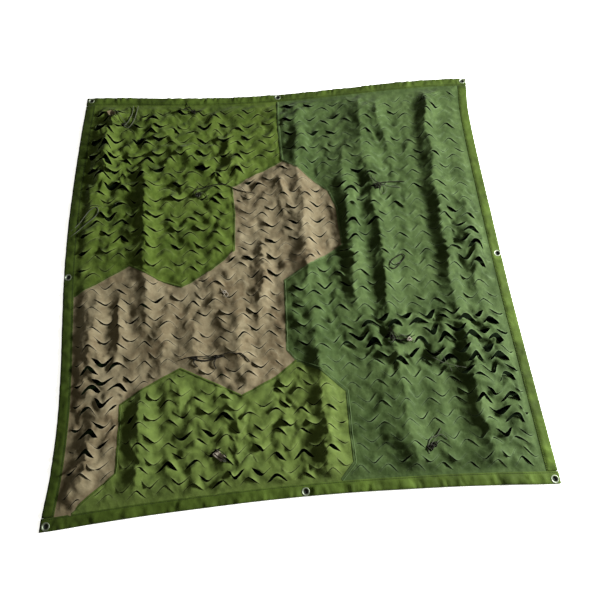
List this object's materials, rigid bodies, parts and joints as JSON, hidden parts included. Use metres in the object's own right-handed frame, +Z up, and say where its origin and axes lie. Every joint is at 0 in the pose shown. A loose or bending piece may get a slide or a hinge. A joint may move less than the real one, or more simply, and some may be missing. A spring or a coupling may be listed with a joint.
{
  "type": "camouflage net",
  "caption": "Square leaf-cut camouflage net laid flat, in hexagon-edged colour patches, with bound edges, eyelets, a dark backing net and short ties.",
  "frame": {"origin": "middle of the outline's box, on the surface that the net lies on", "axes": "+X across the net to its dark green side, +Y to the far edge of the picture, +Z up"},
  "size_m": [1.4958, 1.5203, 0.0368],
  "materials": {
    "olive": "matt bright olive green woven polyester",
    "tan": "matt sand brown woven polyester",
    "dark": "matt darker bluish green woven polyester",
    "backing": "near-black fine mesh",
    "binding": "matt green tape, folded and stitched",
    "metal": "bright rolled eyelets, slightly dulled",
    "cord": "thin dark and grey twisted cord"
  },
  "bodies": {
    "root": {"backing_net": "backing", "cloth_dark": "dark", "cloth_olive_far": "olive", "cloth_olive_near": "olive", "cloth_tan": "tan", "eyelet_far_left": "metal", "eyelet_far_mid": "metal", "eyelet_far_right": "metal", "eyelet_left": "metal", "eyelet_near_left": "metal", "eyelet_near_mid": "metal", "eyelet_near_right": "metal", "eyelet_right": "metal", "hem_far": "binding", "hem_left": "binding", "hem_near": "binding", "hem_right": "binding", "tie_far_left": "cord", "tie_far_mid": "cord", "tie_left": "cord", "tie_mid": "cord", "tie_near_mid": "cord", "tie_right_far": "cord", "tie_right_mid": "cord", "tie_right_near": "cord"}
  },
  "joints": []
}
